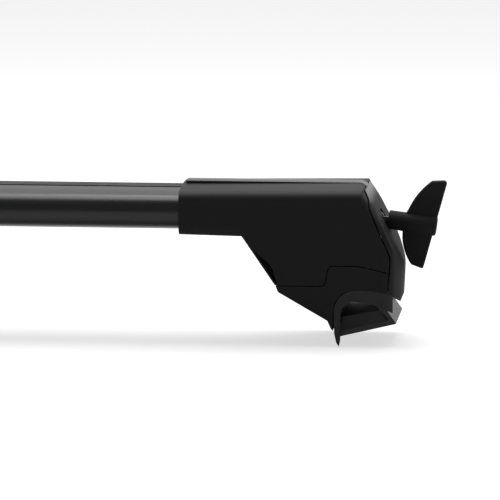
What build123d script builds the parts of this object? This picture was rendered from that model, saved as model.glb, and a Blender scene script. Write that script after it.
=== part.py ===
from build123d import *
from math import asin, atan2, cos, degrees, hypot, pi, radians, sin, sqrt, tan
import os

os.makedirs("parts", exist_ok=True)

# Crossbar for raised roof rails: an oval bar, a foot on each end, and a jaw that slides out of each foot.
# +X runs along the bar to the right, +Y to the rear, +Z up. The origin is the middle of the load strip's top.
# Each foot is drawn as the right-hand one, from the mouth of its sleeve outwards and from the bar's axis up.

# Bar
bar_length = 1080.0
bar_width = 70.0
bar_height = 30.0
bar_crown_rise = 3.0
bar_wall = 2.0
bar_insert = 95.0

# Top T-slot of the bar and its rubber strip
slot_throat = 10.0
slot_lip = 2.2
slot_chamber_width = 18.0
slot_chamber_height = 5.0
slot_wall = 1.8
strip_width = 17.0
strip_thickness = 2.2
strip_foot_width = 14.0
strip_foot_height = 2.0
strip_gap = 0.4

# Foot shell
foot_half_depth = 39.0
shell_wall = 2.7
shell_top = 18.0
shell_bottom = 17.5
shoulder_radius = 14.0
end_bow = 4.0
end_corner_radius = 7.0
parting_gap = 0.4
bar_clearance = 0.3
mouth_edge_radius = 0.8
lower_edge_radius = 3.0

# Clamp bolt, its nut and its carriage
bolt_drop = 8.3
bolt_radius = 4.0
bolt_head_radius = 6.5
bolt_head_length = 8.0
bolt_seat = 134.0
clamp_travel = 30.0
thread_fit = 0.05
nut_reach = 116.0
nut_radius = 8.0
washer_radius = 8.0
washer_thickness = 1.5
carriage_plate = 4.5
clip_thickness = 1.5
clip_radius = 6.5
clip_groove_depth = 0.8

# Bent steel: bracket and jaw
bracket_thickness = 3.0
bracket_half_width = 22.0
jaw_thickness = 4.0
jaw_half_width = 33.0
jaw_bend_radius = 6.0
jaw_clearance = 1.0
liner_thickness = 2.0

# Fasteners
bar_screw_radius = 3.0
bar_screw_head_radius = 5.0
bar_screw_head_height = 3.5
bar_screw_reach = 64.0
bar_screw_offset = 12.0
foot_adjustment = 20.0
small_screw_radius = 2.0
small_screw_head_radius = 3.5
small_screw_head_height = 2.2
rivet_radius = 2.5
rivet_head_radius = 4.2
rivet_head_height = 1.8
hole_clearance = 0.3

# Key
key_droop = 3.0
key_shaft_radius = 7.0
key_shaft_end = 39.0
key_wing_thickness = 5.0
key_hex = 6.0
key_socket_play = 0.6
key_socket_depth = 7.0
key_hole_radius = 8.5
key_face_gap = 0.8

# Places that follow from the sizes above
axis_z = -bar_height / 2
mouth_x = bar_length / 2 - bar_insert
strip_length = 2 * (mouth_x - strip_gap)


def side_plane(y=0.0):
    """Upright plane along the bar: x is the reach from the sleeve's mouth, y the height above the bar's axis."""
    return Plane(origin=(mouth_x, y, axis_z), x_dir=(1, 0, 0), z_dir=(0, -1, 0))


def cross_plane(reach):
    """Upright plane across the bar at a reach from the sleeve's mouth."""
    return Plane(origin=(mouth_x + reach, 0, axis_z), x_dir=(0, 1, 0), z_dir=(1, 0, 0))


def level_plane(height):
    """Level plane at a height above the bar's axis, with its x measured from the sleeve's mouth."""
    return Plane(origin=(mouth_x, 0, axis_z + height), x_dir=(1, 0, 0), z_dir=(0, 0, 1))


def oval_radii(width, height):
    """Nose radius, crown radius and the angle where they meet, for an oval of two noses and two crowns."""
    nose = height / 2 - bar_crown_rise
    run = width / 2 - nose
    reach = (run**2 + bar_crown_rise**2) / (2 * bar_crown_rise)
    return nose, nose + reach, asin(run / reach)


def oval_face(width, height):
    """Closed oval: shallow crown arcs above and below, round noses to the sides."""
    nose, crown, turn = oval_radii(width, height)
    seam_y = crown * sin(turn)
    seam_z = height / 2 - crown * (1 - cos(turn))
    with BuildSketch(mode=Mode.PRIVATE) as oval:
        with BuildLine():
            ThreePointArc((-seam_y, seam_z), (0, height / 2), (seam_y, seam_z))
            ThreePointArc((seam_y, seam_z), (width / 2, 0), (seam_y, -seam_z))
            ThreePointArc((seam_y, -seam_z), (0, -height / 2), (-seam_y, -seam_z))
            ThreePointArc((-seam_y, -seam_z), (-width / 2, 0), (-seam_y, seam_z))
        make_face()
    return oval.sketch


def save(name, part):
    """Label a finished piece and write it."""
    part.label = name
    export_step(part, f"parts/{name}.step")


def save_pair(name, part):
    """Write a right-hand piece and its mirror image for the left foot."""
    with BuildPart() as twin:
        mirror(part, about=Plane.YZ)
    save(f"right_{name}", part)
    save(f"left_{name}", twin.part)


# The bar is one hollow extrusion. Its top slot is a strip recess, a throat between two lips and a wider chamber.
bar_top = bar_height / 2
recess_half = strip_width / 2 + strip_gap
lip_top = bar_top - strip_thickness
chamber_top = lip_top - slot_lip
chamber_floor = chamber_top - slot_chamber_height
slot_block_floor = chamber_floor - slot_wall
slot_block_half = slot_chamber_width / 2 + slot_wall

with BuildPart() as bar_extrusion:
    with BuildSketch(Plane(origin=(-bar_length / 2, 0, axis_z), x_dir=(0, 1, 0), z_dir=(1, 0, 0))):
        add(oval_face(bar_width, bar_height))
        add(oval_face(bar_width - 2 * bar_wall, bar_height - 2 * bar_wall), mode=Mode.SUBTRACT)
        with Locations((0, slot_block_floor)):
            Rectangle(2 * slot_block_half, lip_top - slot_block_floor, align=(Align.CENTER, Align.MIN))
        with Locations((0, lip_top)):
            Rectangle(2 * recess_half, bar_height, align=(Align.CENTER, Align.MIN), mode=Mode.SUBTRACT)
        with Locations((0, chamber_floor)):
            Rectangle(slot_chamber_width, slot_chamber_height, align=(Align.CENTER, Align.MIN), mode=Mode.SUBTRACT)
            Rectangle(slot_throat, bar_height, align=(Align.CENTER, Align.MIN), mode=Mode.SUBTRACT)
    extrude(amount=bar_length)
    slot_centre = mouth_x + bar_screw_reach + foot_adjustment / 2
    with BuildSketch(Plane.XY.offset(axis_z - bar_height)):
        for end in (-1, 1):
            with Locations((end * slot_centre, -bar_screw_offset), (end * slot_centre, bar_screw_offset)):
                SlotCenterToCenter(foot_adjustment, 2 * (bar_screw_radius + hole_clearance))
    extrude(amount=bar_height, mode=Mode.SUBTRACT)
save("bar_extrusion", bar_extrusion.part)

with BuildPart() as slot_strip:
    with BuildSketch(Plane(origin=(-strip_length / 2, 0, axis_z), x_dir=(0, 1, 0), z_dir=(1, 0, 0))):
        with Locations((0, lip_top)):
            Rectangle(strip_width, strip_thickness, align=(Align.CENTER, Align.MIN))
        with Locations((0, chamber_top)):
            Rectangle(slot_throat - 2 * strip_gap, slot_lip, align=(Align.CENTER, Align.MIN))
            Rectangle(strip_foot_width, strip_foot_height, align=(Align.CENTER, Align.MAX))
    extrude(amount=strip_length)
save("slot_strip", slot_strip.part)

# The foot's side outline, in reach and height. It holds the housing, the base and the end cover together.
pad_top = -51.6
blade_reach = 108.8
blade_base = -81.1
saddle_radius = 16.0
saddle_break = 131.0
band_foot_reach = 147.9
band_foot_height = -53.9
band_tip = (154.0, -61.0)
end_knee = (155.0, -31.0)
end_top = (133.4, shell_top)
knee_radius = 12.0
crest_radius = 10.0
keel_tip = (105.3, -76.9)
keel_bend = (101.2, -71.5)
keel_heel = (70.7, -54.4)
panel_foot = (70.0, -50.3)
throat_reach = 46.2


def outline_face(inset):
    """Side outline of the whole foot, taken in by a wall's thickness."""
    with BuildSketch(mode=Mode.PRIVATE) as outline:
        with BuildLine():
            upper = FilletPolyline((throat_reach, shell_top), end_top, end_knee, band_tip,
                                   radius=[crest_radius, knee_radius])
            band = Polyline(band_tip, (band_foot_reach, band_foot_height), (saddle_break, pad_top))
            saddle = FilletPolyline((saddle_break, pad_top), (blade_reach, pad_top), (blade_reach, blade_base),
                                    radius=saddle_radius)
            Polyline((blade_reach, blade_base), keel_tip, keel_bend, keel_heel, panel_foot,
                     (throat_reach, -shell_bottom), (0, -shell_bottom), (0, shell_top),
                     (throat_reach, shell_top))
        make_face()
        if inset:
            offset(amount=-inset, kind=Kind.INTERSECTION)
    return outline.sketch


def section_face(inset):
    """Cross section of the foot: upright sides and two large rounded shoulders."""
    half = foot_half_depth - inset
    with BuildSketch(mode=Mode.PRIVATE) as section:
        with BuildLine():
            FilletPolyline((-half, -4 * foot_half_depth), (-half, shell_top - inset), (half, shell_top - inset),
                           (half, -4 * foot_half_depth), radius=shoulder_radius - inset)
            Line((half, -4 * foot_half_depth), (-half, -4 * foot_half_depth))
        make_face()
    return section.sketch


def plan_face(inset):
    """Plan of the foot: straight sides, a bowed outer end and rounded corners."""
    half = foot_half_depth - inset
    reach = end_knee[0] - inset
    with BuildSketch(mode=Mode.PRIVATE) as plan:
        with BuildLine():
            Line((-1, half), (-1, -half))
            Line((-1, -half), (reach - end_bow, -half))
            ThreePointArc((reach - end_bow, -half), (reach, 0), (reach - end_bow, half))
            Line((reach - end_bow, half), (-1, half))
        make_face()
        corners = plan.vertices().group_by(Axis.X)[-1]
        fillet(corners, radius=end_corner_radius - inset)
    return plan.sketch


def foot_form(inset):
    """Solid form of the foot, where its side outline, cross section and plan meet."""
    with BuildPart(mode=Mode.PRIVATE) as form:
        with BuildSketch(side_plane()):
            add(outline_face(inset))
        extrude(amount=foot_half_depth, both=True)
        with BuildSketch(cross_plane(0)):
            add(section_face(inset))
        extrude(amount=2 * end_knee[0], mode=Mode.INTERSECT)
        with BuildSketch(level_plane(-4 * foot_half_depth)):
            add(plan_face(inset))
        extrude(amount=8 * foot_half_depth, mode=Mode.INTERSECT)
    return form.part


# Parting lines: the end cover lies beyond one, the base below the other.
far_reach = 2 * end_knee[0]
deep = -4 * foot_half_depth
cover_line_top = (127.6, shell_top + 1)
cover_line_shoulder = (133.0, 9.5)
cover_line_knee = (148.9, -28.5)
cover_line_foot = (148.0, -56.0)
base_line_height = -49.9
base_step_foot = 102.5
base_step_top = (105.3, -35.5)
base_line_bend = 128.0
base_line_end = (160.0, -43.6)


def cover_zone(gap):
    """Side view region of the end cover, held back from its parting line by a gap."""
    with BuildSketch(mode=Mode.PRIVATE) as zone:
        with BuildLine():
            FilletPolyline((cover_line_top[0] - 20, cover_line_top[1] + 33), cover_line_top, cover_line_shoulder,
                           cover_line_knee, cover_line_foot, (cover_line_foot[0], deep),
                           radius=[0.5, 8, 20, 20])
            Polyline((cover_line_foot[0], deep), (far_reach, deep),
                     (far_reach, cover_line_top[1] + 33), (cover_line_top[0] - 20, cover_line_top[1] + 33))
        make_face()
        offset(amount=-gap, kind=Kind.INTERSECTION)
    return zone.sketch


def base_zone(gap):
    """Side view region of the base, held back from its parting line by a gap."""
    with BuildSketch(mode=Mode.PRIVATE) as zone:
        with BuildLine():
            FilletPolyline((0, base_line_height), (base_step_foot, base_line_height), base_step_top,
                           (base_line_bend, base_step_top[1]), base_line_end,
                           radius=[3.5, 3.0, 30.0])
            Polyline(base_line_end, (base_line_end[0], deep), (0, deep), (0, base_line_height))
        make_face()
        offset(amount=-gap, kind=Kind.INTERSECTION)
    return zone.sketch


# The cavity starts where the sleeve ends, and leaves the sleeve round the bar whole.
cavity_start = 53.0
strip_half = 12.4
strip_end = 2.3
strip_floor = shell_top - 1.4
strip_play = 0.3
channel_floor = strip_floor - 0.2
housing_screw_reach = 100.0
housing_screw_drop = -34.5
housing_boss_radius = 4.5
scallop_start = (45.0, -shell_bottom - 0.1)
scallop_bend = (64.5, -34.2)
scallop_foot = (70.3, -50.6)
scallop_depth = 3.0

with BuildPart(mode=Mode.PRIVATE) as shell:
    add(foot_form(0))
    with BuildPart(mode=Mode.PRIVATE) as hollow:
        add(foot_form(shell_wall))
        with BuildSketch(side_plane()):
            with Locations((cavity_start, 0)):
                Rectangle(far_reach, 8 * foot_half_depth, align=(Align.MIN, Align.CENTER))
        extrude(amount=foot_half_depth, both=True, mode=Mode.INTERSECT)
    add(hollow.part, mode=Mode.SUBTRACT)
    with BuildSketch(cross_plane(-1)):
        add(oval_face(bar_width + 2 * bar_clearance, bar_height + 2 * bar_clearance))
    extrude(amount=bar_insert + 2, mode=Mode.SUBTRACT)

with BuildPart() as foot_housing:
    add(shell.part)
    with BuildSketch(side_plane()):
        add(cover_zone(-parting_gap / 2))
        add(base_zone(-parting_gap / 2))
    extrude(amount=foot_half_depth + 1, both=True, mode=Mode.SUBTRACT)
    with BuildSketch(level_plane(channel_floor)):
        with Locations((strip_end - strip_play, 0)):
            Rectangle(far_reach, 2 * (strip_half + strip_play), align=(Align.MIN, Align.CENTER))
    extrude(amount=shell_top, mode=Mode.SUBTRACT)
    for face_side in (-1, 1):
        with BuildSketch(side_plane(face_side * (foot_half_depth + 1))):
            with BuildLine():
                FilletPolyline((0, scallop_start[1]), scallop_start, scallop_bend, scallop_foot, radius=[4.0, 14.0])
                Polyline(scallop_foot, (scallop_foot[0], deep), (0, deep), (0, scallop_start[1]))
            make_face()
        extrude(amount=face_side * (scallop_depth + 1), mode=Mode.SUBTRACT)
        boss_length = foot_half_depth - shell_wall - bracket_half_width
        with BuildSketch(side_plane(face_side * bracket_half_width)):
            with Locations((housing_screw_reach, housing_screw_drop)):
                Circle(housing_boss_radius)
                Circle(small_screw_radius + thread_fit, mode=Mode.SUBTRACT)
        extrude(amount=-face_side * (boss_length + 0.5))
save_pair("foot_housing", foot_housing.part)

# The jaw is one bent plate: a hook under the rail, an arm up and inward, and a leg that the carriage pulls.
hook_tip = (110.5, -85.7)
hook_corner = (151.3, -76.0)
leg_face = bolt_seat - washer_thickness + jaw_thickness
arm_slope = 54.3
leg_top = -17.5
knee_height = hook_corner[1] + (hook_corner[0] - leg_face) * tan(radians(arm_slope))
jaw_line = [hook_tip, hook_corner, (leg_face, knee_height), (leg_face, leg_top)]
rivet_offset = 10.0
rivet_drop = -24.0
cover_screw_offset = 28.0
cover_screw_drop = -40.0


def plate_face(points, thickness, radius):
    """Section of a bent plate, from the line of its outer face and its thickness."""
    with BuildSketch(mode=Mode.PRIVATE) as section:
        with BuildLine():
            bent = FilletPolyline(*points, radius=radius)
            offset(bent, amount=thickness, side=Side.LEFT)
        make_face()
    return section.sketch


with BuildPart() as jaw:
    with BuildSketch(side_plane()):
        add(plate_face(jaw_line, jaw_thickness, jaw_bend_radius))
    extrude(amount=jaw_half_width, both=True)
    with BuildSketch(cross_plane(0)):
        with Locations((-rivet_offset, rivet_drop), (rivet_offset, rivet_drop)):
            Circle(rivet_radius + thread_fit)
        with Locations((-cover_screw_offset, cover_screw_drop), (cover_screw_offset, cover_screw_drop)):
            Circle(small_screw_radius + hole_clearance)
    extrude(amount=far_reach, mode=Mode.SUBTRACT)
save_pair("jaw", jaw.part)

# Clear way for the jaw through the base and the saddle pad, open to the outer end.
way = jaw_thickness + jaw_clearance
way_half = jaw_half_width + 1.5
way_leg = leg_face - way
way_shift_x = -way * sin(radians(arm_slope))
way_shift_z = -way * cos(radians(arm_slope))
way_foot = (hook_corner[0] + way_shift_x, hook_corner[1] + way_shift_z)
way_knee = (way_leg, way_foot[1] + (way_foot[0] - way_leg) * tan(radians(arm_slope)))


def jaw_way():
    """Side view region that the jaw sweeps as it slides out."""
    with BuildSketch(mode=Mode.PRIVATE) as region:
        with BuildLine():
            Polyline((way_leg, shell_top), way_knee, way_foot, (way_foot[0], deep), (far_reach, deep),
                     (far_reach, shell_top), (way_leg, shell_top))
        make_face()
    return region.sketch


# The bracket is folded from one plate: two cheeks, a flange under the bar and a flange on the base's floor.
seat_height = -bar_height / 2 - bar_clearance
flange_start = 54.0
flange_end = 94.0
floor_height = pad_top + shell_wall
bracket_foot_start = 104.0
bracket_end = way_leg - 0.5
cheek_end = 125.0
cheek_top = 4.0
base_screw_reach = 119.0
base_screw_offset = 12.0

with BuildPart() as foot_bracket:
    for cheek_side in (-1, 1):
        with BuildSketch(side_plane(cheek_side * bracket_half_width)):
            with BuildLine():
                Polyline((flange_start, seat_height), (flange_end + 5, seat_height),
                         (nut_reach - nut_radius - 5, cheek_top), (cheek_end, cheek_top), (cheek_end, -32),
                         (bracket_end, -40), (bracket_end, floor_height), (bracket_foot_start, floor_height),
                         (flange_start + 6, seat_height - bracket_thickness - 4),
                         (flange_start, seat_height - bracket_thickness), (flange_start, seat_height))
            make_face()
            with Locations((nut_reach, -bolt_drop)):
                Circle(nut_radius + thread_fit, mode=Mode.SUBTRACT)
            with Locations((housing_screw_reach, housing_screw_drop)):
                Circle(small_screw_radius + hole_clearance, mode=Mode.SUBTRACT)
        extrude(amount=cheek_side * bracket_thickness)
    with BuildSketch(level_plane(seat_height)):
        with Locations(((flange_start + flange_end) / 2, 0)):
            Rectangle(flange_end - flange_start, 2 * bracket_half_width)
        with Locations((bar_screw_reach, -bar_screw_offset), (bar_screw_reach, bar_screw_offset)):
            Circle(bar_screw_radius + hole_clearance, mode=Mode.SUBTRACT)
    extrude(amount=-bracket_thickness)
    with BuildSketch(level_plane(floor_height)):
        with Locations(((bracket_foot_start + bracket_end) / 2, 0)):
            Rectangle(bracket_end - bracket_foot_start, 2 * bracket_half_width)
        with Locations((base_screw_reach, -base_screw_offset), (base_screw_reach, base_screw_offset)):
            Circle(small_screw_radius + hole_clearance, mode=Mode.SUBTRACT)
    extrude(amount=bracket_thickness)
save_pair("foot_bracket", foot_bracket.part)

# The base is the lower part of the shell, cut away for the jaw and drilled for the pad's pegs.
peg_reach = 122.0
peg_offset = 29.0
peg_radius = 4.0
peg_length = shell_wall + 2.0

with BuildPart() as foot_base:
    add(shell.part)
    with BuildSketch(side_plane()):
        add(base_zone(parting_gap / 2))
    extrude(amount=foot_half_depth + 1, both=True, mode=Mode.INTERSECT)
    with BuildSketch(side_plane()):
        add(cover_zone(-parting_gap / 2))
    extrude(amount=foot_half_depth + 1, both=True, mode=Mode.SUBTRACT)
    with BuildSketch(side_plane()):
        add(jaw_way())
    extrude(amount=way_half, both=True, mode=Mode.SUBTRACT)
    with BuildSketch(level_plane(pad_top - 4)):
        with Locations((peg_reach, -peg_offset), (peg_reach, peg_offset)):
            Circle(peg_radius + thread_fit)
        with Locations((base_screw_reach, -base_screw_offset), (base_screw_reach, base_screw_offset)):
            Circle(small_screw_radius + thread_fit)
    extrude(amount=4 + peg_length, mode=Mode.SUBTRACT)
save_pair("foot_base", foot_base.part)

# The saddle pad: a rubber arch that sits on the rail, with a blade down its inner side that ends in two horns.
pad_gap = 0.3
pad_end_top = (151.5, -55.8)
pad_end_foot = (153.5, -70.5)
arch_crown = (122.2, -60.4)
arch_mid = (138.5, -63.9)
arch_haunch = (115.9, -63.9)
arch_spring = (113.5, -71.0)
blade_tip_inner = (113.3, -90.0)
blade_tip = (112.2, -92.0)
blade_tip_outer = (110.4, -89.6)
blade_outer = (109.1, -81.0)
horn_gap_height = -77.0

with BuildPart() as saddle_pad:
    with BuildSketch(side_plane()):
        with BuildLine():
            FilletPolyline(blade_outer, (blade_reach + pad_gap, pad_top - pad_gap), (saddle_break, pad_top - pad_gap),
                           radius=saddle_radius)
            Polyline((saddle_break, pad_top - pad_gap), (band_foot_reach, band_foot_height - pad_gap),
                     pad_end_top, pad_end_foot)
            ThreePointArc(pad_end_foot, arch_mid, arch_crown)
            ThreePointArc(arch_crown, arch_haunch, arch_spring)
            Polyline(arch_spring, blade_tip_inner, blade_tip, blade_tip_outer, blade_outer)
        make_face()
    extrude(amount=foot_half_depth, both=True)
    with BuildSketch(side_plane()):
        add(jaw_way())
    extrude(amount=way_half, both=True, mode=Mode.SUBTRACT)
    with BuildSketch(cross_plane(blade_reach - 5)):
        with Locations((0, horn_gap_height)):
            Rectangle(2 * way_half, 2 * foot_half_depth, align=(Align.CENTER, Align.MAX))
    extrude(amount=arch_crown[0] - blade_reach, mode=Mode.SUBTRACT)
    with BuildSketch(level_plane(pad_top - 4)):
        with Locations((peg_reach, -peg_offset), (peg_reach, peg_offset)):
            Circle(peg_radius)
    extrude(amount=4 + peg_length)
save_pair("saddle_pad", saddle_pad.part)

# The end cover: the shell's outer band and a flat strip that runs back over the bar in one moulding.
cover_edge_start = (band_foot_reach, -51.9)
cover_edge_end = (155.5, -56.0)
cover_boss_radius = 4.5

with BuildPart() as end_cover:
    add(shell.part)
    with BuildSketch(side_plane()):
        add(cover_zone(parting_gap / 2))
    extrude(amount=foot_half_depth + 1, both=True, mode=Mode.INTERSECT)
    for face_side in (-1, 1):
        with BuildSketch(side_plane(face_side * (foot_half_depth + 1))):
            with BuildLine():
                Polyline((0, cover_edge_start[1]), cover_edge_start, cover_edge_end, (far_reach, cover_edge_end[1]),
                         (far_reach, deep), (0, deep), (0, cover_edge_start[1]))
            make_face()
        extrude(amount=face_side * (foot_half_depth + 1 - jaw_half_width), mode=Mode.SUBTRACT)
    with BuildPart(mode=Mode.PRIVATE) as top_strip:
        add(foot_form(0))
        with BuildSketch(level_plane(strip_floor)):
            with BuildLine():
                FilletPolyline((end_knee[0], -strip_half), (strip_end, -strip_half), (strip_end, strip_half),
                               (end_knee[0], strip_half), radius=2.0)
                Line((end_knee[0], strip_half), (end_knee[0], -strip_half))
            make_face()
        extrude(amount=shell_top, mode=Mode.INTERSECT)
    add(top_strip.part)
    boss_start = leg_face
    boss_end = end_knee[0] - end_bow * (cover_screw_offset / foot_half_depth) ** 2 - shell_wall / 2 - 0.3
    with BuildSketch(cross_plane(boss_start)):
        with Locations((-cover_screw_offset, cover_screw_drop), (cover_screw_offset, cover_screw_drop)):
            Circle(cover_boss_radius)
    extrude(amount=boss_end - boss_start)
    with BuildSketch(cross_plane(boss_start)):
        with Locations((-cover_screw_offset, cover_screw_drop), (cover_screw_offset, cover_screw_drop)):
            Circle(small_screw_radius + thread_fit)
    extrude(amount=boss_end - boss_start - 4, mode=Mode.SUBTRACT)
    with BuildSketch(cross_plane(bolt_seat)):
        with Locations((0, -bolt_drop)):
            Circle(key_hole_radius)
    extrude(amount=far_reach, mode=Mode.SUBTRACT)
save_pair("end_cover", end_cover.part)

# Rubber liner on the hook, inside the arch.
liner_half_width = jaw_half_width - 3.0
liner_start = 3.0
liner_end = 31.0
hook_slope = atan2(hook_corner[1] - hook_tip[1], hook_corner[0] - hook_tip[0])
hook_plane = Plane(
    origin=side_plane().from_local_coords((hook_tip[0], hook_tip[1], 0)),
    x_dir=(cos(hook_slope), 0, sin(hook_slope)),
    z_dir=(0, -1, 0),
)

with BuildPart() as jaw_liner:
    with BuildSketch(hook_plane):
        with Locations((liner_start, jaw_thickness)):
            Rectangle(liner_end - liner_start, liner_thickness, align=(Align.MIN, Align.MIN))
    extrude(amount=liner_half_width, both=True)
    fillet(jaw_liner.edges().filter_by(Axis.Y).group_by(Axis.Z)[-1], radius=0.8)
save_pair("jaw_liner", jaw_liner.part)

# The carriage: a plate that the bolt's head pulls, with two guide arms between the bracket's cheeks.
plate_face_reach = bolt_seat - washer_thickness
plate_back = plate_face_reach - carriage_plate
arm_outer = bracket_half_width - bracket_thickness - 0.3
arm_thickness = 3.5
arm_start = plate_back - clamp_travel - 6.0
arm_top = -20.0
arm_bottom = -30.0
plate_top = 3.0

with BuildPart() as slide_carriage:
    with BuildSketch(cross_plane(plate_back)):
        with BuildLine():
            Polyline((-arm_outer, arm_bottom), (arm_outer, arm_bottom), (arm_outer, arm_top),
                     (washer_radius + 2, plate_top), (-washer_radius - 2, plate_top), (-arm_outer, arm_top),
                     (-arm_outer, arm_bottom))
        make_face()
        with Locations((0, -bolt_drop)):
            Circle(bolt_radius + hole_clearance, mode=Mode.SUBTRACT)
        with Locations((-rivet_offset, rivet_drop), (rivet_offset, rivet_drop)):
            Circle(rivet_radius + thread_fit, mode=Mode.SUBTRACT)
    extrude(amount=carriage_plate)
    with BuildSketch(cross_plane(arm_start)):
        for arm_side in (-1, 1):
            with Locations((arm_side * (arm_outer - arm_thickness / 2), (arm_top + arm_bottom) / 2)):
                Rectangle(arm_thickness, arm_top - arm_bottom)
    extrude(amount=plate_back - arm_start)
save_pair("slide_carriage", slide_carriage.part)


def turned_set(points, reach, steps):
    """Like turned pieces along the bar's direction: each step is a radius and a length, from a reach outwards."""
    with BuildPart(mode=Mode.PRIVATE) as turned:
        start = reach
        for radius, length in steps:
            with BuildSketch(cross_plane(start)):
                with Locations(*points):
                    Circle(radius)
            extrude(amount=length)
            start += length
    return turned.part


rivet_points = [(-rivet_offset, rivet_drop), (rivet_offset, rivet_drop)]
rivet_steps = [
    (rivet_head_radius, rivet_head_height),
    (rivet_radius, carriage_plate + jaw_thickness),
    (rivet_head_radius, rivet_head_height),
]
with BuildPart() as jaw_rivets:
    add(turned_set(rivet_points, plate_back - rivet_head_height, rivet_steps))
save_pair("jaw_rivets", jaw_rivets.part)

cover_screw_points = [(-cover_screw_offset, cover_screw_drop), (cover_screw_offset, cover_screw_drop)]
cover_screw_steps = [(small_screw_head_radius, small_screw_head_height), (small_screw_radius, jaw_thickness + 8)]
with BuildPart() as cover_screws:
    add(turned_set(cover_screw_points, leg_face - jaw_thickness - small_screw_head_height, cover_screw_steps))
save_pair("cover_screws", cover_screws.part)

# The bolt, its washer and the ring behind the carriage. The bolt's thread reaches back into the hollow bar.
clip_reach = plate_back - clip_thickness - 0.3
bolt_end = nut_reach - nut_radius - clamp_travel - 1.0

with BuildPart() as clamp_bolt:
    with BuildSketch(cross_plane(bolt_end)):
        with Locations((0, -bolt_drop)):
            Circle(bolt_radius)
    extrude(amount=bolt_seat - bolt_end)
    with BuildSketch(cross_plane(bolt_seat)):
        with Locations((0, -bolt_drop)):
            Circle(bolt_head_radius)
    extrude(amount=bolt_head_length)
    with BuildSketch(cross_plane(bolt_seat + bolt_head_length - key_socket_depth)):
        with Locations((0, -bolt_drop)):
            RegularPolygon((key_hex + key_socket_play) / 2, 6, major_radius=False)
    extrude(amount=key_socket_depth, mode=Mode.SUBTRACT)
    with BuildSketch(cross_plane(clip_reach)):
        with Locations((0, -bolt_drop)):
            Circle(bolt_radius)
            Circle(bolt_radius - clip_groove_depth, mode=Mode.SUBTRACT)
    extrude(amount=clip_thickness, mode=Mode.SUBTRACT)
save_pair("clamp_bolt", clamp_bolt.part)

with BuildPart() as thrust_washer:
    with BuildSketch(cross_plane(plate_face_reach)):
        with Locations((0, -bolt_drop)):
            Circle(washer_radius)
            Circle(bolt_radius + hole_clearance, mode=Mode.SUBTRACT)
    extrude(amount=washer_thickness)
save_pair("thrust_washer", thrust_washer.part)

with BuildPart() as bolt_clip:
    with BuildSketch(cross_plane(clip_reach)):
        with Locations((0, -bolt_drop)):
            Circle(clip_radius)
            Circle(bolt_radius - clip_groove_depth + thread_fit, mode=Mode.SUBTRACT)
        with Locations((0, -bolt_drop - clip_radius)):
            Rectangle(2.4, 2 * clip_radius, mode=Mode.SUBTRACT)
    extrude(amount=clip_thickness)
save_pair("bolt_clip", bolt_clip.part)

# The barrel nut lies across the bracket, and the bolt runs through it.
with BuildPart() as barrel_nut:
    with BuildSketch(side_plane()):
        with Locations((nut_reach, -bolt_drop)):
            Circle(nut_radius)
    extrude(amount=bracket_half_width + 1.5, both=True)
    with BuildSketch(cross_plane(nut_reach - 2 * nut_radius)):
        with Locations((0, -bolt_drop)):
            Circle(bolt_radius + thread_fit)
    extrude(amount=4 * nut_radius, mode=Mode.SUBTRACT)
save_pair("barrel_nut", barrel_nut.part)

# Nut plate inside the bar, and the two screws that pull the bracket up to it.
inner_nose, inner_crown, inner_turn = oval_radii(bar_width - 2 * bar_wall, bar_height - 2 * bar_wall)
plate_half_width = 18.0
nut_plate_length = 16.0
nut_plate_height = 5.0
crown_drop = inner_crown - sqrt(inner_crown**2 - plate_half_width**2)
nut_plate_floor = -bar_height / 2 + bar_wall + crown_drop + 0.1

with BuildPart() as bar_nut_plate:
    with BuildSketch(level_plane(nut_plate_floor)):
        with Locations((bar_screw_reach, 0)):
            Rectangle(nut_plate_length, 2 * plate_half_width)
        with Locations((bar_screw_reach, -bar_screw_offset), (bar_screw_reach, bar_screw_offset)):
            Circle(bar_screw_radius + thread_fit, mode=Mode.SUBTRACT)
    extrude(amount=nut_plate_height)
save_pair("bar_nut_plate", bar_nut_plate.part)

screw_head_top = seat_height - bracket_thickness
with BuildPart() as bar_screws:
    with BuildSketch(level_plane(screw_head_top - bar_screw_head_height)):
        with Locations((bar_screw_reach, -bar_screw_offset), (bar_screw_reach, bar_screw_offset)):
            Circle(bar_screw_head_radius)
            RegularPolygon(2.5, 6, major_radius=False, mode=Mode.SUBTRACT)
    extrude(amount=bar_screw_head_height)
    with BuildSketch(level_plane(screw_head_top - 1)):
        with Locations((bar_screw_reach, -bar_screw_offset), (bar_screw_reach, bar_screw_offset)):
            Circle(bar_screw_radius)
    extrude(amount=nut_plate_floor + nut_plate_height - screw_head_top + 1)
save_pair("bar_screws", bar_screws.part)

with BuildPart() as base_screws:
    with BuildSketch(level_plane(floor_height + bracket_thickness)):
        with Locations((base_screw_reach, -base_screw_offset), (base_screw_reach, base_screw_offset)):
            Circle(small_screw_head_radius)
    extrude(amount=small_screw_head_height)
    with BuildSketch(level_plane(floor_height + bracket_thickness)):
        with Locations((base_screw_reach, -base_screw_offset), (base_screw_reach, base_screw_offset)):
            Circle(small_screw_radius)
    extrude(amount=-(bracket_thickness + shell_wall))
save_pair("base_screws", base_screws.part)

with BuildPart() as housing_screws:
    cheek_inner = bracket_half_width - bracket_thickness
    for cheek_side in (-1, 1):
        with BuildSketch(side_plane(cheek_side * cheek_inner)):
            with Locations((housing_screw_reach, housing_screw_drop)):
                Circle(small_screw_head_radius)
        extrude(amount=cheek_side * small_screw_head_height)
        with BuildSketch(side_plane(cheek_side * cheek_inner)):
            with Locations((housing_screw_reach, housing_screw_drop)):
                Circle(small_screw_radius)
        extrude(amount=-cheek_side * (bracket_thickness + 10))
save_pair("housing_screws", housing_screws.part)

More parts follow.
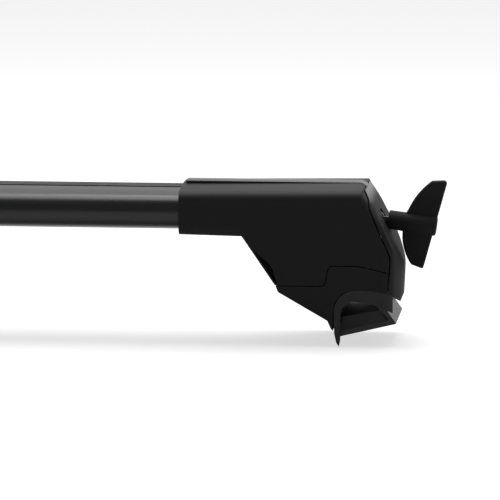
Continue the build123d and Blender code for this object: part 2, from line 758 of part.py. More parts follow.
# The key: a wing handle on a round shaft, with a hexagon bit that plugs into the bolt's head.
# It hangs in the socket at a slight droop, so it has its own plane, with x out along its shaft.
socket_middle = bolt_seat + bolt_head_length - key_socket_depth / 2
key_plane = Plane(
    origin=(mouth_x + socket_middle, 0, axis_z - bolt_drop),
    x_dir=(cos(radians(key_droop)), 0, -sin(radians(key_droop))),
    z_dir=(0, -1, 0),
)
key_shaft_start = key_socket_depth / 2 + key_face_gap
key_cross = Plane(
    origin=key_plane.from_local_coords((key_shaft_start, 0, 0)),
    x_dir=(0, 1, 0),
    z_dir=(cos(radians(key_droop)), 0, -sin(radians(key_droop))),
)
bit_tip = -key_socket_depth / 2 + 0.4
bit_seat = 20.0

with BuildPart() as key_handle:
    with BuildSketch(key_plane):
        with BuildLine():
            ThreePointArc((16.0, 0), (16.3, 5.0), (18.2, 9.0))
            ThreePointArc((18.2, 9.0), (25.2, 21.2), (33.6, 29.5))
            Line((33.6, 29.5), (42.6, 31.1))
            ThreePointArc((42.6, 31.1), (44.2, 30.3), (44.4, 28.4))
            Line((44.4, 28.4), (31.5, -30.6))
            ThreePointArc((31.5, -30.6), (30.9, -31.6), (29.8, -31.6))
            Line((29.8, -31.6), (23.2, -29.2))
            ThreePointArc((23.2, -29.2), (17.6, -19.6), (15.0, -8.0))
            ThreePointArc((15.0, -8.0), (15.1, -4.0), (16.0, 0))
        make_face()
    extrude(amount=key_wing_thickness / 2, both=True)
    wing_faces = key_handle.edges().group_by(Axis.Y)
    fillet(wing_faces[0] + wing_faces[-1], radius=0.9)
    with BuildSketch(key_plane):
        with BuildLine():
            FilletPolyline((key_shaft_start, 0), (key_shaft_start, key_shaft_radius),
                           (key_shaft_end, key_shaft_radius), (key_shaft_end, 0), radius=[0.5, 1.5])
            Line((key_shaft_end, 0), (key_shaft_start, 0))
        make_face()
    revolve(axis=Axis(key_plane.origin, key_plane.x_dir))
    with BuildSketch(key_cross):
        RegularPolygon(key_hex / 2 + thread_fit, 6, major_radius=False)
    extrude(amount=bit_seat - key_shaft_start, mode=Mode.SUBTRACT)
save("key_handle", key_handle.part)

with BuildPart() as key_bit:
    with BuildSketch(key_cross.offset(bit_tip - key_shaft_start)):
        RegularPolygon(key_hex / 2, 6, major_radius=False)
    extrude(amount=bit_seat - bit_tip)
save("key_bit", key_bit.part)
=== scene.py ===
import bmesh
import bpy
from math import asin, atan2, ceil, cos, pi, radians, sin, sqrt, tan, tau
from mathutils import Matrix, Vector


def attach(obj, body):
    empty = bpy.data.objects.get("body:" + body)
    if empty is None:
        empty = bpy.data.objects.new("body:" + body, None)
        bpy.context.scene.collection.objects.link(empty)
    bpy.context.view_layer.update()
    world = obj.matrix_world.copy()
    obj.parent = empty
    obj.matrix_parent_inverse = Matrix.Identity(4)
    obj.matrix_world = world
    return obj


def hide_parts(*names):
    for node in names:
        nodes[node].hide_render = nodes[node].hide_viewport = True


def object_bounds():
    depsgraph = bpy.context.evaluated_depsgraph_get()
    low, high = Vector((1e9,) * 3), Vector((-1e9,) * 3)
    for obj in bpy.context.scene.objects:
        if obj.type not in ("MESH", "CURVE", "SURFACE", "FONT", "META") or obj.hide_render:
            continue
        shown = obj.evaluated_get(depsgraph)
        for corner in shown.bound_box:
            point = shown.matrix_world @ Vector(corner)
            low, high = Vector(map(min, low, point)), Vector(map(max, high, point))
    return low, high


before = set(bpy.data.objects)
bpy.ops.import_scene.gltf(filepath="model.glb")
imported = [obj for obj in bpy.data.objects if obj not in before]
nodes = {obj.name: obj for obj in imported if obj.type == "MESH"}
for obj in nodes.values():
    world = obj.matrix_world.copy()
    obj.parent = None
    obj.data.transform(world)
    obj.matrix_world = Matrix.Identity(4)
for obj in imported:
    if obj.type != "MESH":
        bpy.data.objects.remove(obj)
cad_low, cad_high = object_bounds()

# The bar
# An oval aluminium extrusion, drawn through a die and anodised black. It keeps faint die lines along its
# length and a satin gloss that mirrors a pale sky on its shoulders.
BAR_DARK, BAR_LIGHT = (0.0075, 0.0075, 0.0080, 1), (0.0105, 0.0105, 0.0112, 1)
BAR_ROUGHNESS = 0.27
DIE_LINES_PER_METRE = 900.0
DIE_LINE_DEPTH = 0.000012
BAR_EDGE = 0.0004


class Reading:
    """A number or colour on one shader socket. Sums on it add the Math nodes that they need."""

    def __init__(self, finish, socket):
        self.finish = finish
        self.socket = socket

    def maths(self, operation, *others):
        return self.finish.node("ShaderNodeMath", {"operation": operation}, [self, *others])

    def __add__(self, other):
        return self.maths("ADD", other)

    def __mul__(self, other):
        return self.maths("MULTIPLY", other)

    def __rsub__(self, other):
        return (self * -1.0) + other


class Finish:
    """A material under way: its nodes, its surface shader and the object's own coordinates."""

    def __init__(self, name):
        self.material = bpy.data.materials.new(name)
        self.material.use_nodes = True
        self.tree = self.material.node_tree
        self.surface = self.tree.nodes["Principled BSDF"]

    def node(self, kind, settings=None, inputs=(), out=0):
        made = self.tree.nodes.new(kind)
        for key, value in (settings or {}).items():
            setattr(made, key, value)
        pairs = inputs.items() if isinstance(inputs, dict) else enumerate(inputs)
        for key, value in pairs:
            if isinstance(value, Reading):
                self.tree.links.new(value.socket, made.inputs[key])
            else:
                made.inputs[key].default_value = value
        return Reading(self, made.outputs[out])

    def place(self, scale=(1, 1, 1)):
        """The object's own coordinates in metres, stretched along each axis."""
        here = self.node("ShaderNodeTexCoord", out="Object")
        return self.node("ShaderNodeMapping", None, {"Vector": here, "Scale": scale})

    def noise(self, scale, detail=2.0, stretch=(1, 1, 1), roughness=0.5):
        return self.node("ShaderNodeTexNoise", None, {
            "Vector": self.place(stretch), "Scale": scale, "Detail": detail, "Roughness": roughness})

    def between(self, value, low, high, new_low, new_high):
        return self.node("ShaderNodeMapRange", None, {
            "Value": value, "From Min": low, "From Max": high, "To Min": new_low, "To Max": new_high})

    def blend(self, mask, first, second):
        """Colour that turns from the first to the second as the mask goes from 0 to 1."""
        return self.node("ShaderNodeMix", {"data_type": "RGBA"}, {0: mask, 6: first, 7: second}, out=2)

    def soft_edges(self, radius):
        """Normal of a surface whose sharp edges are rounded by a radius."""
        return self.node("ShaderNodeBevel", {"samples": 6}, {"Radius": radius})

    def edge_mask(self, radius, strength):
        """1 along convex and concave edges, 0 on flat ground."""
        rounded = self.soft_edges(radius)
        plain = self.node("ShaderNodeNewGeometry", out="Normal")
        facing = self.node("ShaderNodeVectorMath", {"operation": "DOT_PRODUCT"}, [rounded, plain],
                           out="Value")
        return self.between(1.0 - facing, 0.0, strength, 0.0, 1.0)

    def bump(self, height, distance, over=None):
        inputs = {"Height": height, "Distance": distance, "Strength": 1.0}
        if over is not None:
            inputs["Normal"] = over
        return self.node("ShaderNodeBump", None, inputs)

    def set(self, **values):
        """Give the surface shader its values or readings, with spaces in the names as underscores."""
        for key, value in values.items():
            socket = self.surface.inputs[key.replace("_", " ")]
            if isinstance(value, Reading):
                self.tree.links.new(value.socket, socket)
            else:
                socket.default_value = value
        return self.material


def dress(names, material):
    """Give carried-over pieces their finish."""
    for name in names:
        mesh = nodes[name].data
        mesh.materials.clear()
        mesh.materials.append(material)


def both(name):
    """The right-hand and left-hand pieces of one kind."""
    return [f"right_{name}", f"left_{name}"]


def anodised_bar():
    finish = Finish("black_anodised_bar")
    lines = finish.noise(DIE_LINES_PER_METRE, 3.0, (0.004, 1, 1))
    patches = finish.noise(14.0, 2.0, (0.3, 1, 1))
    grain = finish.noise(9000.0, 1.0)
    rough = finish.between(patches, 0.3, 0.7, BAR_ROUGHNESS - 0.03, BAR_ROUGHNESS + 0.04)
    bumped = finish.bump(lines + grain * 0.25, DIE_LINE_DEPTH, finish.soft_edges(BAR_EDGE))
    return finish.set(Base_Color=finish.blend(lines, BAR_DARK, BAR_LIGHT), Roughness=rough, Normal=bumped)


dress(["bar_extrusion"], anodised_bar())

# The load strip
# A soft rubber extrusion pushed into the bar's top slot. It stops loads sliding and closes the slot.
RUBBER_DARK, RUBBER_LIGHT = (0.017, 0.017, 0.018, 1), (0.026, 0.026, 0.027, 1)
# A paler colour, painted along the rubber's edges as a highlight.
RUBBER_EDGE_HIGHLIGHT = (0.05, 0.05, 0.052, 1)
RUBBER_EDGE = 0.0006
RUBBER_SKIN = 0.00003


def black_rubber():
    finish = Finish("black_rubber")
    skin = finish.noise(2600.0, 4.0)
    clouds = finish.noise(60.0, 3.0)
    edges = finish.edge_mask(RUBBER_EDGE, 0.10)
    rough = finish.between(clouds, 0.3, 0.7, 0.62, 0.78)
    # The rubber's edges, convex and concave, are painted paler as a highlight, over its own cloudy black.
    rubber_edge_lit = finish.blend(edges * 0.5, finish.blend(clouds, RUBBER_DARK, RUBBER_LIGHT), RUBBER_EDGE_HIGHLIGHT)
    return finish.set(Base_Color=rubber_edge_lit, Roughness=rough,
                      Normal=finish.bump(skin, RUBBER_SKIN, finish.soft_edges(RUBBER_EDGE)),
                      Specular_IOR_Level=0.4)


rubber = black_rubber()
dress(["slot_strip"], rubber)

# The foot's mouldings
# Sleeve and housing, base and end cover are injection moulded in glass-filled nylon, with a fine spark-eroded
# grain from the tool, and edges painted paler as a highlight where they catch a little light. Hands and
# luggage polish their upper faces, from matt to satin between the heights given here in metres.
PLASTIC_DARK, PLASTIC_LIGHT = (0.0062, 0.0062, 0.0062), (0.0085, 0.0085, 0.0083)
# A paler colour, painted along the nylon's edges as a highlight.
PLASTIC_EDGE_HIGHLIGHT = (0.03, 0.03, 0.03, 1)
PLASTIC_EDGE = 0.0009
GRAIN_DEPTH = 0.00004
MATT, SATIN = 0.66, 0.5
MATT_BELOW, SATIN_ABOVE = -0.010, -0.002
POLISH_FROM, POLISH_FULL = -0.008, -0.001


def grained_plastic(name, level, shine):
    """Moulded nylon: level lightens its black, and shine is the weight of the polish on its upper faces."""
    finish = Finish(name)
    grain = finish.noise(1900.0, 3.0, roughness=0.6)
    flow = finish.noise(22.0, 2.0)
    edges = finish.edge_mask(PLASTIC_EDGE, 0.12)
    dark, light = ([part * level for part in shade] + [1] for shade in (PLASTIC_DARK, PLASTIC_LIGHT))
    # The edges, convex and concave, are painted paler as a highlight, over the nylon's own cloudy black.
    lit = finish.blend(edges * 0.5, finish.blend(flow, dark, light), PLASTIC_EDGE_HIGHLIGHT)
    height = finish.node("ShaderNodeSeparateXYZ", inputs=[finish.place()], out="Z")
    rough = finish.between(height, MATT_BELOW, SATIN_ABOVE, MATT, SATIN) + flow * 0.06
    polish = finish.between(height, POLISH_FROM, POLISH_FULL, 0.0, shine)
    return finish.set(Base_Color=lit, Roughness=rough,
                      Normal=finish.bump(grain, GRAIN_DEPTH, finish.soft_edges(PLASTIC_EDGE)),
                      Specular_IOR_Level=0.2, Coat_Weight=polish, Coat_Roughness=0.22)


# The sleeve and housing
# One moulding in glass-filled nylon: a sleeve round the bar's end, and a housing over the clamp, with a
# channel along its top for the cover's strip and a shallow scalloped step in each side.
# Lengths below are in mm: reach from the sleeve's mouth, depth to the rear, height from the bar's axis.
MM = 0.001
SLEEVE_MOUTH = Vector((0.445, 0.0, -0.015))
HALF_DEPTH = 39.0
WALL = 2.7
TOP, BOTTOM, CREST = 17.2, 17.4, 19.0
TOP_RISE, BOTTOM_DIP = 0.0133, 0.0200
CROWN_RADIUS, SHOULDER_RADIUS = 250.0, 7.6
END_REACH, END_BOW, END_CORNER = 155.4, 8.0, 10.0
FAR, DEEP, HIGH, LEGS = 320.0, -160.0, 60.0, -190.0
END_TOP, END_KNEE, END_ROUND = 129.0, (155.0, -37.5), 12.0
BAND_TIP, BAND_FOOT = (153.2, -62.0), (146.5, -53.9)
BLADE_REACH, PAD_TOP, SADDLE_BREAK, SADDLE_RADIUS = 107.4, -51.6, 130.8, 16.0
THROAT, THROAT_HEIGHT = 38.0, -6.4
PANEL_FOOT = (67.7, -50.0)
KEEL_HEEL = (69.3, -53.9)
KEEL_TIP = [(BLADE_REACH, -80.5), (106.0, -79.0), (103.6, -73.6)]
KEEL_ROOM = (BLADE_REACH, -75.8)
COVER_LINE = [(126.5, 19.6), (131.4, 10.5), (132.4, 4.5), (147.2, -29.5), (145.0, -56.0)]
COVER_ROUNDS = [0, 8.0, 10.0, 20.0, 0]
BASE_LINE = [(0, -49.5), (101.6, -49.5), (104.4, -35.2), (127.0, -35.2), (158.6, -43.2)]
BASE_ROUNDS = [0, 3.5, 3.0, 30.0, 0]
COVER_GAP, BASE_GAP = 0.9, 0.7
BROW_LEAN, BROW_WALL = -1.6, 1.7
BROW = [(0, 222.9), (18.0, 222.9), (24.5, 222.4), (29.6, 221.6), (32.3, 220.7), (34.2, 219.2), (36.0, 218.6),
        (37.5, 216.6), (39.0, 213.1), (40.0, 207.6), (40.0, -250.0)]
LEG_FACE, WAY_HALF = 136.5, 33.5
JAW_WAY = [(131.5, TOP), (131.5, -57.0), (147.2, -78.9), (147.2, DEEP), (FAR, DEEP), (FAR, TOP)]
ROOM_START, ROOM_TOP = 53.0, 15.0
BAR_WIDTH, BAR_HEIGHT, BAR_CROWN_RISE, BAR_PLAY, BAR_BORE_END = 70.0, 30.0, 3.0, 0.3, 97.0
CHANNEL_START, CHANNEL_HALF, CHANNEL_FLOOR = 1.7, 7.9, 16.4
SCALLOP_DEPTH, SCALLOP_RIM = 5.0, 1.3
POST_REACH, POST_HEIGHT, POST_RADIUS, SCREW_RADIUS = 100.0, -34.5, 4.5, 2.05
POST_START, POST_END, POST_HOLE_END = 22.0, 37.0, 36.0
CREASE_ANGLE = 28


def at(reach, depth, height):
    """A point of the right foot, from its reach, depth and height in mm."""
    return SLEEVE_MOUTH + Vector((reach, depth, height)) * MM


def arc_steps(turn):
    """Short chords enough for an arc to look round."""
    return max(2, ceil(abs(turn) / radians(8)))


def rounded(points, radii):
    """A closed outline with its corners rounded, each by its own radius, or left sharp at 0."""
    corners = [Vector(point) for point in points]
    outline = []
    for i, radius in enumerate(radii):
        corner = corners[i]
        if not radius:
            outline.append(corner)
            continue
        back = (corners[i - 1] - corner).normalized()
        ahead = (corners[(i + 1) % len(corners)] - corner).normalized()
        half = back.angle(ahead) / 2
        centre = corner + (back + ahead).normalized() * radius / sin(half)
        first = corner + back * radius / tan(half) - centre
        last = corner + ahead * radius / tan(half) - centre
        start = atan2(first.y, first.x)
        turn = (atan2(last.y, last.x) - start + pi) % tau - pi
        steps = arc_steps(turn)
        for step in range(steps + 1):
            angle = start + turn * step / steps
            outline.append(centre + Vector((cos(angle), sin(angle))) * radius)
    return outline


def taken_in(points, distance):
    """The corners of a closed outline moved inwards by a wall's thickness."""
    corners = [Vector(point) for point in points]
    area = sum(a.x * b.y - b.x * a.y for a, b in zip(corners, corners[1:] + corners[:1]))
    side = distance if area > 0 else -distance
    moved = []
    for before, corner, after in zip(corners[-1:] + corners[:-1], corners, corners[1:] + corners[:1]):
        into = (corner - before).normalized()
        out = (after - corner).normalized()
        first = Vector((-into.y, into.x))
        mitre = (first + Vector((-out.y, out.x))).normalized()
        moved.append(corner + mitre * side / mitre.dot(first))
    return moved


def skinned(form, rings):
    """Closed mesh over rings of points, with a cap on the first and the last."""
    count = len(rings[0])
    for low, high in zip(rings, rings[1:]):
        for i in range(count):
            form.faces.new([low[i], low[(i + 1) % count], high[(i + 1) % count], high[i]])
    form.faces.new(rings[0])
    form.faces.new(rings[-1])
    bmesh.ops.recalc_face_normals(form, faces=form.faces)
    mesh = bpy.data.meshes.new("form")
    form.to_mesh(mesh)
    form.free()
    return mesh


def drawn(outline, place, low, high):
    """Closed mesh that draws an outline from one level of its placing function to another."""
    form = bmesh.new()
    rings = [[form.verts.new(place(point, level)) for point in outline] for level in (low, high)]
    return skinned(form, rings)


def side_form(outline, low=-HIGH, high=HIGH):
    """Solid seen as an outline from the side."""
    return drawn(outline, lambda point, depth: at(point[0], depth, point[1]), low, high)


def plan_form(outline, low=DEEP, high=HIGH):
    """Solid seen as an outline from above."""
    return drawn(outline, lambda point, height: at(point[0], point[1], height), low, high)


def cross_form(outline, low, high, lean=0.0):
    """Solid seen as an outline from the bar's end, and rising by a lean as it goes out."""
    return drawn(outline, lambda point, reach: at(reach, point[0], point[1] + lean * reach), low, high)


def disc(centre_x, centre_y, radius, sides=24):
    """Round outline."""
    return [Vector((centre_x + radius * cos(tau * i / sides), centre_y + radius * sin(tau * i / sides)))
            for i in range(sides)]


def combined(operation, first, *others):
    """One mesh that joins, cuts or keeps what meshes share."""
    scene = bpy.context.scene
    for other in others:
        holders = [bpy.data.objects.new("form", mesh) for mesh in (first, other)]
        for holder in holders:
            scene.collection.objects.link(holder)
        change = holders[0].modifiers.new("change", "BOOLEAN")
        change.operation = operation
        change.solver = "EXACT"
        change.object = holders[1]
        seen = holders[0].evaluated_get(bpy.context.evaluated_depsgraph_get())
        first = bpy.data.meshes.new_from_object(seen)
        for holder in holders:
            bpy.data.objects.remove(holder)
    return first


def crown_outline(height, sense, inset):
    """Section under a crowned top with two round shoulders, or over such a bottom where the sense is -1."""
    half = HALF_DEPTH - inset
    crown, shoulder = CROWN_RADIUS - inset, SHOULDER_RADIUS - inset
    run = half - shoulder
    crown_seat = height - inset - crown
    shoulder_seat = crown_seat + sqrt((crown - shoulder) ** 2 - run**2)
    turn = asin(run / (crown - shoulder))
    edge = [Vector((crown * sin(turn * i / 6), crown_seat + crown * cos(turn * i / 6))) for i in range(7)]
    for i in range(1, 11):
        angle = turn + (pi / 2 - turn) * i / 10
        edge.append(Vector((run + shoulder * sin(angle), shoulder_seat + shoulder * cos(angle))))
    edge.append(Vector((half, LEGS)))
    whole = edge + [Vector((-point.x, point.y)) for point in reversed(edge[1:])]
    return [Vector((point.x, sense * point.y)) for point in whole]


def bowed_plan(inset):
    """Plan of the foot: straight sides, a bowed outer end and rounded corners."""
    half, reach, corner = HALF_DEPTH - inset, END_REACH - inset, END_CORNER - inset
    slant = atan2(2 * END_BOW * (half - corner), HALF_DEPTH**2)
    join_y = half - corner + corner * sin(slant)
    seat_x = reach - END_BOW * (join_y / HALF_DEPTH) ** 2 - corner * cos(slant)
    edge = [Vector((-1.0, half))]
    for i in range(9):
        angle = pi / 2 + (slant - pi / 2) * i / 8
        edge.append(Vector((seat_x + corner * cos(angle), half - corner + corner * sin(angle))))
    for i in range(1, 7):
        across = join_y * (1 - i / 6)
        edge.append(Vector((reach - END_BOW * (across / HALF_DEPTH) ** 2, across)))
    return edge + [Vector((point.x, -point.y)) for point in reversed(edge[:-1])]


def foot_form(inset):
    """Form of the whole foot, where its side outline, its crowned top and its plan meet."""
    corners = [(END_TOP, CREST), END_KNEE, BAND_TIP, BAND_FOOT]
    corners += [(SADDLE_BREAK, PAD_TOP), (BLADE_REACH, PAD_TOP)]
    corners += [KEEL_ROOM] if inset else KEEL_TIP
    corners += [KEEL_HEEL, PANEL_FOOT, (THROAT, THROAT_HEIGHT), (THROAT, CREST)]
    corners = taken_in(corners, inset)
    radii = [END_ROUND - inset, END_ROUND - inset, 0, 0, 0, SADDLE_RADIUS + inset]
    radii += [0] * (len(corners) - len(radii))
    form = side_form(rounded(corners, radii), -HALF_DEPTH - 1, HALF_DEPTH + 1)
    if not inset:
        sleeve = cross_form(crown_outline(BOTTOM, -1, 0), 0, THROAT + 10, -BOTTOM_DIP)
        form = combined("UNION", form, sleeve)
    brow = [Vector(point) for point in BROW]
    brow += [Vector((-point.x, point.y)) for point in reversed(brow[1:])]
    brow = taken_in(brow, BROW_WALL * inset)
    return combined("INTERSECT", form, cross_form(crown_outline(TOP, 1, inset), -2, FAR, TOP_RISE),
                    plan_form(bowed_plan(inset)), cross_form(brow, -40, FAR, BROW_LEAN))


def zone(line, gap, corners, radii, grow):
    """Side solid beyond a parting line, pushed past it or held back from it by half the gap."""
    outline = rounded(line + corners, radii + [0] * len(corners))
    return side_form(taken_in(outline, -gap / 2 if grow else gap / 2))


def cover_zone(grow):
    """What lies beyond the cover's parting line."""
    beyond = [(COVER_LINE[-1][0], DEEP), (FAR, DEEP), (FAR, HIGH), (COVER_LINE[0][0], HIGH)]
    return zone(COVER_LINE, COVER_GAP, beyond, COVER_ROUNDS, grow)


def base_zone(grow):
    """What lies below the base's parting line."""
    below = [(BASE_LINE[-1][0], DEEP), (0, DEEP)]
    return zone(BASE_LINE, BASE_GAP, below, BASE_ROUNDS, grow)


def bar_oval(clearance):
    """Outline of the bar's oval: shallow crowns above and below, round noses to the sides."""
    width, height = BAR_WIDTH + 2 * clearance, BAR_HEIGHT + 2 * clearance
    nose = height / 2 - BAR_CROWN_RISE
    run = width / 2 - nose
    reach = (run**2 + BAR_CROWN_RISE**2) / (2 * BAR_CROWN_RISE)
    crown, turn = nose + reach, asin(run / reach)
    quarter = []
    for i in range(6):
        angle = turn * i / 5
        quarter.append(Vector((crown * sin(angle), height / 2 - crown * (1 - cos(angle)))))
    for i in range(1, 15):
        angle = (pi / 2 - turn) * (1 - i / 14)
        quarter.append(Vector((run + nose * cos(angle), nose * sin(angle))))
    right = quarter + [Vector((point.x, -point.y)) for point in reversed(quarter[:-1])]
    return right + [Vector((-point.x, point.y)) for point in reversed(right[1:-1])]


def foot_shell():
    """The foot's outer form with the room inside it and the bar's oval hole."""
    limits = side_form([(ROOM_START, DEEP), (FAR, DEEP), (FAR, ROOM_TOP), (ROOM_START, ROOM_TOP)])
    room = combined("INTERSECT", foot_form(WALL), limits)
    return combined("DIFFERENCE", foot_form(0), room, cross_form(bar_oval(BAR_PLAY), -5, BAR_BORE_END))


def other_side(mesh):
    """The mirror image of a mesh, for the left foot, with its faces still outwards."""
    form = bmesh.new()
    form.from_mesh(mesh)
    for vertex in form.verts:
        vertex.co.x = -vertex.co.x
    bmesh.ops.reverse_faces(form, faces=form.faces)
    twin = bpy.data.meshes.new("form")
    form.to_mesh(twin)
    form.free()
    return twin


def make_piece(name, mesh, body, node, material):
    """Name a finished mesh, give it its material and its body, and let it stand for its CAD node."""
    form = bmesh.new()
    form.from_mesh(mesh)
    bmesh.ops.remove_doubles(form, verts=form.verts, dist=1e-6)
    bmesh.ops.dissolve_degenerate(form, edges=form.edges, dist=1e-6)
    form.to_mesh(mesh)
    form.free()
    mesh.name = name
    mesh.materials.clear()
    mesh.materials.append(material)
    mesh.polygons.foreach_set("use_smooth", [True] * len(mesh.polygons))
    mesh.set_sharp_from_angle(angle=radians(CREASE_ANGLE))
    piece = bpy.data.objects.new(name, mesh)
    bpy.context.scene.collection.objects.link(piece)
    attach(piece, body)
    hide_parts(node)
    return piece


def make_pair(name, mesh, body, node, material):
    """The right-hand piece and its mirror image."""
    make_piece(f"right_{name}", mesh, f"right_{body}", f"right_{node}", material)
    make_piece(f"left_{name}", other_side(mesh), f"left_{body}", f"left_{node}", material)


shell = foot_shell()
scallop = rounded([(0, -17.0), (43.0, -17.0), (64.6, -35.2), (69.7, -50.8), (69.7, DEEP), (0, DEEP)],
                  [0, 5.0, 14.0, 0, 0, 0])
channel = plan_form([(CHANNEL_START, -CHANNEL_HALF), (FAR, -CHANNEL_HALF), (FAR, CHANNEL_HALF),
                     (CHANNEL_START, CHANNEL_HALF)], CHANNEL_FLOOR)
rim = taken_in([(THROAT, 30.0), (120.0, 30.0), (120.0, -49.0), (68.4, -49.0), PANEL_FOOT,
                (THROAT, THROAT_HEIGHT)], SCALLOP_RIM)
pockets = []
for side in (-1, 1):
    span = sorted((side * (HALF_DEPTH - SCALLOP_DEPTH), side * HIGH))
    pockets.append(combined("INTERSECT", side_form(scallop, *span), side_form(rim)))
housing = combined("DIFFERENCE", shell, cover_zone(True), base_zone(True), channel, *pockets,
                   side_form(JAW_WAY, -WAY_HALF, WAY_HALF))
for side in (-1, 1):
    post = [side_form(disc(POST_REACH, POST_HEIGHT, radius), *sorted((side * POST_START, side * end)))
            for radius, end in ((POST_RADIUS, POST_END), (SCREW_RADIUS, POST_HOLE_END))]
    housing = combined("UNION", housing, combined("DIFFERENCE", *post))

moulding = grained_plastic("grained_black_nylon", 1.75, 0.0)
make_pair("housing_moulding", housing, "foot", "foot_housing", moulding)

# The base
# The lower moulding carries the pad and closes the housing from below. The jaw passes out through it.
PEG_REACH, PEG_OFFSET, PEG_RADIUS = 122.0, 29.0, 4.0
PEG_PLAY = 0.05
BASE_SCREW_REACH, BASE_SCREW_OFFSET = 119.0, 12.0
HOLE_FOOT, HOLE_HEAD = PAD_TOP - 4.0, PAD_TOP + 5.0
base_hole_kinds = [(PEG_REACH, PEG_OFFSET, PEG_RADIUS + PEG_PLAY),
                   (BASE_SCREW_REACH, BASE_SCREW_OFFSET, SCREW_RADIUS)]
base_holes = [plan_form(disc(reach, side * offset, radius), HOLE_FOOT, HOLE_HEAD)
              for reach, offset, radius in base_hole_kinds for side in (-1, 1)]
base = combined("DIFFERENCE", combined("INTERSECT", shell, base_zone(False)), cover_zone(True),
                side_form(JAW_WAY, -WAY_HALF - 1, WAY_HALF + 1), *base_holes)
make_pair("base_moulding", base, "foot", "foot_base", moulding)

# The end cover
# One nylon moulding: a crowned strip that lies in the channel, a sloping band that closes the end, and two
# posts inside for the screws from the jaw. A round hole lets the key through to the bolt.
STRIP_HALF, STRIP_START, STRIP_CORNER, STRIP_FLOOR, STRIP_CROWN, STRIP_CREST = 7.6, 2.0, 2.2, 16.6, 41.0, 19.7
COVER_SCREW_OFFSET, COVER_SCREW_HEIGHT, COVER_SCREW_DEPTH = 28.0, -40.0, 8.5
KEY_HOLE_HEIGHT, KEY_HOLE_RADIUS, KEY_HOLE_START = -8.3, 8.6, 134.0
cover = combined("INTERSECT", shell, cover_zone(False))
strip_side = side_form(rounded([(STRIP_START, -30.0), (STRIP_START, 20.0), (128.7, 20.0), (151.0, -30.0)],
                               [0, STRIP_CORNER, 14.0, 0]), -STRIP_HALF, STRIP_HALF)
strip_plan = plan_form(rounded([(155.0, STRIP_HALF), (STRIP_START, STRIP_HALF), (STRIP_START, -STRIP_HALF),
                                (155.0, -STRIP_HALF)], [0, STRIP_CORNER, STRIP_CORNER, 0]), STRIP_FLOOR)
strip_crown = cross_form([Vector((STRIP_CROWN * sin(radians(i * 2)),
                                  STRIP_CROWN * cos(radians(i * 2)) - STRIP_CROWN + STRIP_CREST))
                          for i in range(-8, 9)] + [(12.0, 0.0), (-12.0, 0.0)], -5, FAR)
cover = combined("UNION", cover, combined("INTERSECT", strip_side, strip_plan, strip_crown))
ends = plan_form(bowed_plan(WALL / 2))
for depth in (-COVER_SCREW_OFFSET, COVER_SCREW_OFFSET):
    post = cross_form(disc(depth, COVER_SCREW_HEIGHT, POST_RADIUS), LEG_FACE, FAR)
    cover = combined("UNION", cover, combined("INTERSECT", post, ends))
cover_holes = [cross_form(disc(0, KEY_HOLE_HEIGHT, KEY_HOLE_RADIUS, 40), KEY_HOLE_START, FAR)]
for depth in (-COVER_SCREW_OFFSET, COVER_SCREW_OFFSET):
    screw_hole = disc(depth, COVER_SCREW_HEIGHT, SCREW_RADIUS)
    cover_holes.append(cross_form(screw_hole, LEG_FACE - 1, LEG_FACE + COVER_SCREW_DEPTH))
cover = combined("DIFFERENCE", cover, *cover_holes)
cover_finish = grained_plastic("cover_black_nylon", 1.75, 0.6)
make_pair("cover_moulding", cover, "clamp", "end_cover", cover_finish)

# The bracket
# One steel plate, folded up into two cheeks and electrocoated black. It carries the bar's load to the base.
# The second colour is a paler one, painted along the plate's edges as a highlight.
COAT_BLACK, COAT_EDGE_HIGHLIGHT = (0.0062, 0.0062, 0.0066, 1), (0.03, 0.03, 0.031, 1)
COAT_EDGE = 0.0007


def coated_steel():
    finish = Finish("electrocoated_steel")
    peel = finish.noise(420.0, 2.0)
    # The plate's edges, convex and concave, are painted paler as a highlight.
    shade = finish.blend(finish.edge_mask(COAT_EDGE, 0.12) * 0.6, COAT_BLACK, COAT_EDGE_HIGHLIGHT)
    return finish.set(Base_Color=shade, Roughness=finish.between(peel, 0.3, 0.7, 0.34, 0.44),
                      Normal=finish.bump(peel, 0.00005, finish.soft_edges(COAT_EDGE)))


electrocoat = coated_steel()
dress(both("foot_bracket"), electrocoat)

# The saddle pad
# A black rubber arch that sits on the rail. A blade down its inner side ends in two horns beside the jaw,
# and two pegs on its back hold it in the base.
PAD_GAP, PEG_ROOT, PEG_LENGTH = 0.3, 4.0, 4.7
ARCH_HEEL, ARCH_CREST = (151.2, -69.8), (121.4, -59.9)
HORN_GAP_HALF, HORN_TOP = 34.5, -77.0


def arc(start, through, end, steps=10):
    """Points of the arc from a start through a point to an end."""
    a, b, c = Vector(start), Vector(through), Vector(end)
    twice = 2 * (a.x * (b.y - c.y) + b.x * (c.y - a.y) + c.x * (a.y - b.y))
    centre = Vector(((a.dot(a) * (b.y - c.y) + b.dot(b) * (c.y - a.y) + c.dot(c) * (a.y - b.y)) / twice,
                     (a.dot(a) * (c.x - b.x) + b.dot(b) * (a.x - c.x) + c.dot(c) * (b.x - a.x)) / twice))
    radius = (a - centre).length
    first, middle, last = (atan2((p - centre).y, (p - centre).x) for p in (a, b, c))
    turn = (last - first) % tau
    if (middle - first) % tau > turn:
        turn -= tau
    return [centre + Vector((cos(first + turn * i / steps), sin(first + turn * i / steps))) * radius
            for i in range(steps + 1)]


